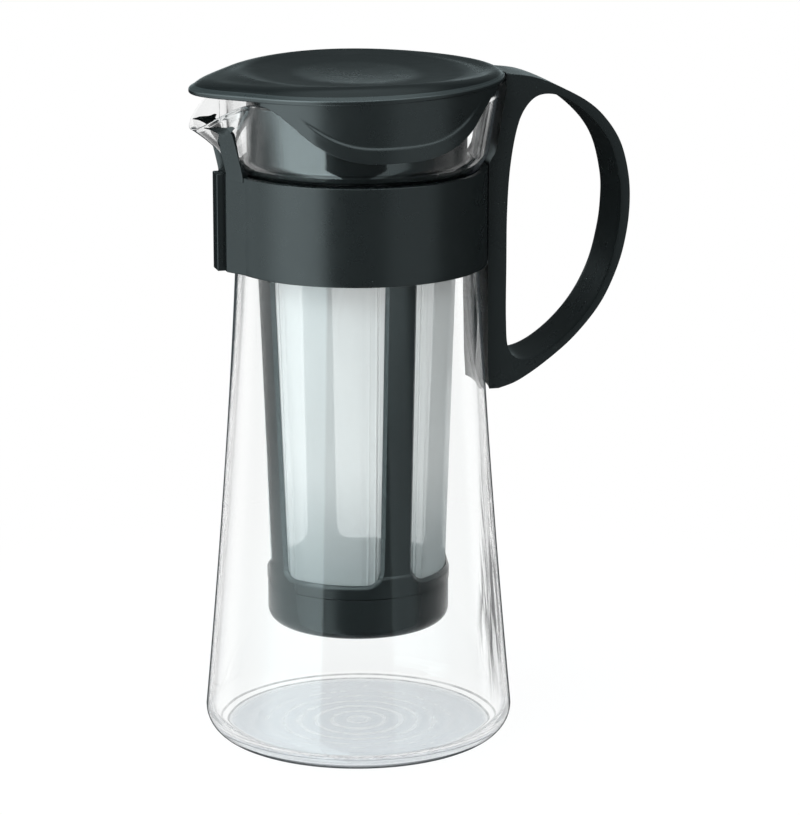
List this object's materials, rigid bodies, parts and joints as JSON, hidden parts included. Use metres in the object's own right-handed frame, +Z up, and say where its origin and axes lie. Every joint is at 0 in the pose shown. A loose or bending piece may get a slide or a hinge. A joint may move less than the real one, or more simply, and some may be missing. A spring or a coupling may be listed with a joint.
{
  "type": "cold brew coffee maker",
  "caption": "Conical glass carafe with a pulled spout, a strapped-on D handle, a hanging mesh filter with a twist-off cap and a loose lid.",
  "frame": {"origin": "middle of the carafe's flat base, on the surface it stands on", "axes": "+Z up, +X towards the handle, -X towards the spout"},
  "size_m": [0.1375, 0.097, 0.2122],
  "materials": {
    "glass": "clear, polished",
    "band_plastic": "satin charcoal black",
    "clip_plastic": "satin charcoal black",
    "handle_plastic": "satin charcoal black",
    "lid_plastic": "satin charcoal black",
    "frame_plastic": "satin charcoal black",
    "mesh": "fine woven filter mesh",
    "cap_plastic": "satin charcoal black"
  },
  "bodies": {
    "pot": {"glass_carafe": "glass", "band": "band_plastic", "handle": "handle_plastic"},
    "clip": {"band_clip": "clip_plastic"},
    "filter": {"filter_frame": "frame_plastic", "mesh_panel_1": "mesh", "mesh_panel_2": "mesh", "mesh_panel_3": "mesh", "mesh_panel_4": "mesh"},
    "cap": {"filter_cap": "cap_plastic"},
    "lid_body": {"lid": "lid_plastic"}
  },
  "joints": [
    {"name": "filter_lift", "type": "slide", "parent": "pot", "child": "filter", "axis": [0, 0, 1], "range_m": [0, 0.175]},
    {"name": "lid_lift", "type": "slide", "parent": "filter", "child": "lid_body", "axis": [0, 0, 1], "range_m": [0, 0.03]},
    {"name": "cap_twist", "type": "hinge", "parent": "filter", "child": "cap", "pos_m": [0, 0, 0.045], "axis": [0, 0, 1], "range_deg": [0, 25]},
    {"name": "clip_slide", "type": "slide", "parent": "pot", "child": "clip", "axis": [0, 0, -1], "range_m": [0, 0.031]}
  ]
}
